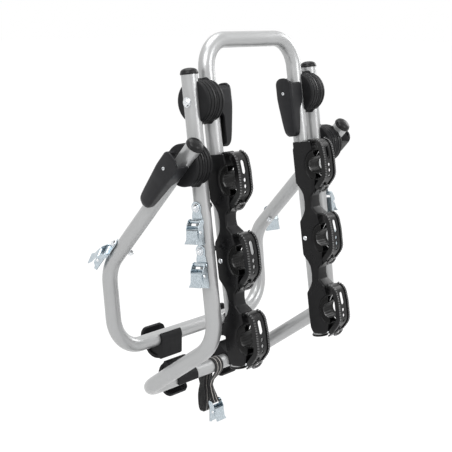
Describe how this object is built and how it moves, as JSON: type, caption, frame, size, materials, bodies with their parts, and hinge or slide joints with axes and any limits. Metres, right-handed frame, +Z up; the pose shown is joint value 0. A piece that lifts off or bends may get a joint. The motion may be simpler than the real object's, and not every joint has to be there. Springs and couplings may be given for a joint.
{
  "type": "trunk mounted bike rack",
  "caption": "Folding bike rack for a car boot: bent silver tube frames on clamped hubs, carrying legs folded down with strap cradles, car pads, cam buckles and a tie strap.",
  "frame": {"origin": "middle of the lower bar of the main frame, where the rack bears on the car", "axes": "+X across the car, to the right as seen from behind it; +Y towards the car; +Z up"},
  "size_m": [0.5515, 0.3462, 0.8312],
  "materials": {
    "frame_tube": "satin",
    "cap_plastic": "matte",
    "hub_plastic": "satin",
    "lever_plastic": "satin",
    "zinc_sheet": "zinc plated",
    "hardware": "zinc plated",
    "rail_plastic": "satin",
    "liner_rubber": "matte",
    "strap_rubber": "satin",
    "pad_rubber": "matte",
    "webbing": "woven"
  },
  "bodies": {
    "main_frame": {"main_tube": "frame_tube", "main_tube_caps": "cap_plastic", "main_upper_hub_left": "hub_plastic", "main_upper_hub_right": "hub_plastic", "main_lower_hub_left": "hub_plastic", "main_lower_hub_right": "hub_plastic", "main_anchor_plates": "zinc_sheet", "main_buckle_bodies": "zinc_sheet", "main_buckle_fasteners": "hardware", "tie_webbing": "webbing", "tie_bundle": "webbing", "tie_buckle_body": "zinc_sheet", "tie_buckle_pin": "hardware"},
    "carrier_frame": {"carrier_tube": "frame_tube", "carrier_end_caps": "cap_plastic", "carrier_hub_left": "hub_plastic", "carrier_hub_right": "hub_plastic", "upper_pivot_bolts": "hardware", "upper_lever_pins": "hardware", "carrier_rail_left": "rail_plastic", "carrier_rail_right": "rail_plastic", "saddle_liners_left": "liner_rubber", "saddle_liners_right": "liner_rubber", "rail_screws": "hardware", "cradle_pins": "hardware"},
    "brace_frame": {"brace_tube": "frame_tube", "brace_tube_caps": "cap_plastic", "brace_hub_left": "hub_plastic", "brace_hub_right": "hub_plastic", "lower_pivot_bolts": "hardware", "lower_lever_pins": "hardware", "brace_anchor_plates": "zinc_sheet", "brace_buckle_bodies": "zinc_sheet", "brace_buckle_fasteners": "hardware"},
    "main_cam_upper_left": {"main_cam_upper_left": "zinc_sheet"},
    "main_cam_upper_right": {"main_cam_upper_right": "zinc_sheet"},
    "main_cam_lower_left": {"main_cam_lower_left": "zinc_sheet"},
    "main_cam_lower_right": {"main_cam_lower_right": "zinc_sheet"},
    "main_pad_left_foot": {"main_pad_left_foot": "pad_rubber"},
    "main_pad_right_foot": {"main_pad_right_foot": "pad_rubber"},
    "tie_buckle_cam": {"tie_buckle_cam": "zinc_sheet"},
    "cradle_strap_left_1": {"cradle_strap_left_1": "strap_rubber"},
    "cradle_strap_left_2": {"cradle_strap_left_2": "strap_rubber"},
    "cradle_strap_left_3": {"cradle_strap_left_3": "strap_rubber"},
    "cradle_strap_right_1": {"cradle_strap_right_1": "strap_rubber"},
    "cradle_strap_right_2": {"cradle_strap_right_2": "strap_rubber"},
    "cradle_strap_right_3": {"cradle_strap_right_3": "strap_rubber"},
    "brace_cam_left": {"brace_cam_left": "zinc_sheet"},
    "brace_cam_right": {"brace_cam_right": "zinc_sheet"},
    "brace_pad_left_foot": {"brace_pad_left_foot": "pad_rubber"},
    "brace_pad_right_foot": {"brace_pad_right_foot": "pad_rubber"},
    "upper_lever_left": {"upper_lever_left": "lever_plastic", "upper_lever_screw_left": "hardware"},
    "upper_lever_right": {"upper_lever_right": "lever_plastic", "upper_lever_screw_right": "hardware"},
    "lower_lever_left": {"lower_lever_left": "lever_plastic", "lower_lever_screw_left": "hardware"},
    "lower_lever_right": {"lower_lever_right": "lever_plastic", "lower_lever_screw_right": "hardware"}
  },
  "joints": [
    {"name": "carrier_fold", "type": "hinge", "parent": "main_frame", "child": "carrier_frame", "pos_m": [0, -0.14092, 0.5822], "axis": [1, 0, 0], "range_deg": [-92, 0]},
    {"name": "brace_fold", "type": "hinge", "parent": "main_frame", "child": "brace_frame", "pos_m": [0, -0.15477, 0.47409], "axis": [1, 0, 0], "range_deg": [-4, 75]},
    {"name": "upper_lever_left_swing", "type": "hinge", "parent": "carrier_frame", "child": "upper_lever_left", "pos_m": [-0.098, -0.14092, 0.5822], "axis": [0, -0.9895, 0.1444], "range_deg": [0, 45]},
    {"name": "upper_lever_right_swing", "type": "hinge", "parent": "carrier_frame", "child": "upper_lever_right", "pos_m": [0.098, -0.14092, 0.5822], "axis": [0, 0.9895, -0.1444], "range_deg": [0, 45]},
    {"name": "lower_lever_right_swing", "type": "hinge", "parent": "brace_frame", "child": "lower_lever_right", "pos_m": [0.253, -0.15477, 0.47409], "axis": [0, -0.7443, -0.6678], "range_deg": [0, 45]},
    {"name": "lower_lever_left_swing", "type": "hinge", "parent": "brace_frame", "child": "lower_lever_left", "pos_m": [-0.253, -0.15477, 0.47409], "axis": [0, 0.7443, 0.6678], "range_deg": [0, 45]},
    {"name": "cradle_strap_left_1_swing", "type": "hinge", "parent": "carrier_frame", "child": "cradle_strap_left_1", "pos_m": [-0.129, -0.18504, 0.48758], "axis": [-1, 0, 0], "range_deg": [0, 90]},
    {"name": "cradle_strap_left_2_swing", "type": "hinge", "parent": "carrier_frame", "child": "cradle_strap_left_2", "pos_m": [-0.129, -0.20626, 0.34212], "axis": [-1, 0, 0], "range_deg": [0, 90]},
    {"name": "cradle_strap_left_3_swing", "type": "hinge", "parent": "carrier_frame", "child": "cradle_strap_left_3", "pos_m": [-0.129, -0.22748, 0.19666], "axis": [-1, 0, 0], "range_deg": [0, 90]},
    {"name": "cradle_strap_right_1_swing", "type": "hinge", "parent": "carrier_frame", "child": "cradle_strap_right_1", "pos_m": [0.129, -0.18504, 0.48758], "axis": [-1, 0, 0], "range_deg": [0, 90]},
    {"name": "cradle_strap_right_2_swing", "type": "hinge", "parent": "carrier_frame", "child": "cradle_strap_right_2", "pos_m": [0.129, -0.20626, 0.34212], "axis": [-1, 0, 0], "range_deg": [0, 90]},
    {"name": "cradle_strap_right_3_swing", "type": "hinge", "parent": "carrier_frame", "child": "cradle_strap_right_3", "pos_m": [0.129, -0.22748, 0.19666], "axis": [-1, 0, 0], "range_deg": [0, 90]},
    {"name": "main_pad_left_turn", "type": "hinge", "parent": "main_frame", "child": "main_pad_left_foot", "pos_m": [-0.062, 0, 0], "axis": [1, 0, 0], "range_deg": [-12, 12]},
    {"name": "main_pad_right_turn", "type": "hinge", "parent": "main_frame", "child": "main_pad_right_foot", "pos_m": [0.098, 0, 0], "axis": [1, 0, 0], "range_deg": [-12, 12]},
    {"name": "brace_pad_left_turn", "type": "hinge", "parent": "brace_frame", "child": "brace_pad_left_foot", "pos_m": [-0.086, 0.02356, 0.09042], "axis": [1, 0, 0], "range_deg": [-12, 12]},
    {"name": "brace_pad_right_turn", "type": "hinge", "parent": "brace_frame", "child": "brace_pad_right_foot", "pos_m": [0.112, 0.02356, 0.09042], "axis": [1, 0, 0], "range_deg": [-12, 12]},
    {"name": "main_cam_upper_left_swing", "type": "hinge", "parent": "main_frame", "child": "main_cam_upper_left", "pos_m": [-0.2046, -0.17027, 0.35307], "axis": [0, 0.9919, -0.1271], "range_deg": [0, 55]},
    {"name": "main_cam_upper_right_swing", "type": "hinge", "parent": "main_frame", "child": "main_cam_upper_right", "pos_m": [0.2046, -0.17027, 0.35307], "axis": [0, -0.9919, 0.1271], "range_deg": [0, 55]},
    {"name": "main_cam_lower_left_swing", "type": "hinge", "parent": "main_frame", "child": "main_cam_lower_left", "pos_m": [-0.2046, -0.18031, 0.27471], "axis": [0, 0.9919, -0.1271], "range_deg": [0, 55]},
    {"name": "main_cam_lower_right_swing", "type": "hinge", "parent": "main_frame", "child": "main_cam_lower_right", "pos_m": [0.2046, -0.18031, 0.27471], "axis": [0, -0.9919, 0.1271], "range_deg": [0, 55]},
    {"name": "brace_cam_left_swing", "type": "hinge", "parent": "brace_frame", "child": "brace_cam_left", "pos_m": [-0.23968, 0.04514, 0.28398], "axis": [0.7771, 0.4684, 0.4203], "range_deg": [0, 55]},
    {"name": "brace_cam_right_swing", "type": "hinge", "parent": "brace_frame", "child": "brace_cam_right", "pos_m": [0.26116, 0.02547, 0.27985], "axis": [0.5953, -0.7881, 0.1565], "range_deg": [0, 55]},
    {"name": "tie_cam_swing", "type": "hinge", "parent": "main_frame", "child": "tie_buckle_cam", "pos_m": [0.036, -0.01085, -0.101], "axis": [-1, 0, 0], "range_deg": [0, 55]}
  ]
}
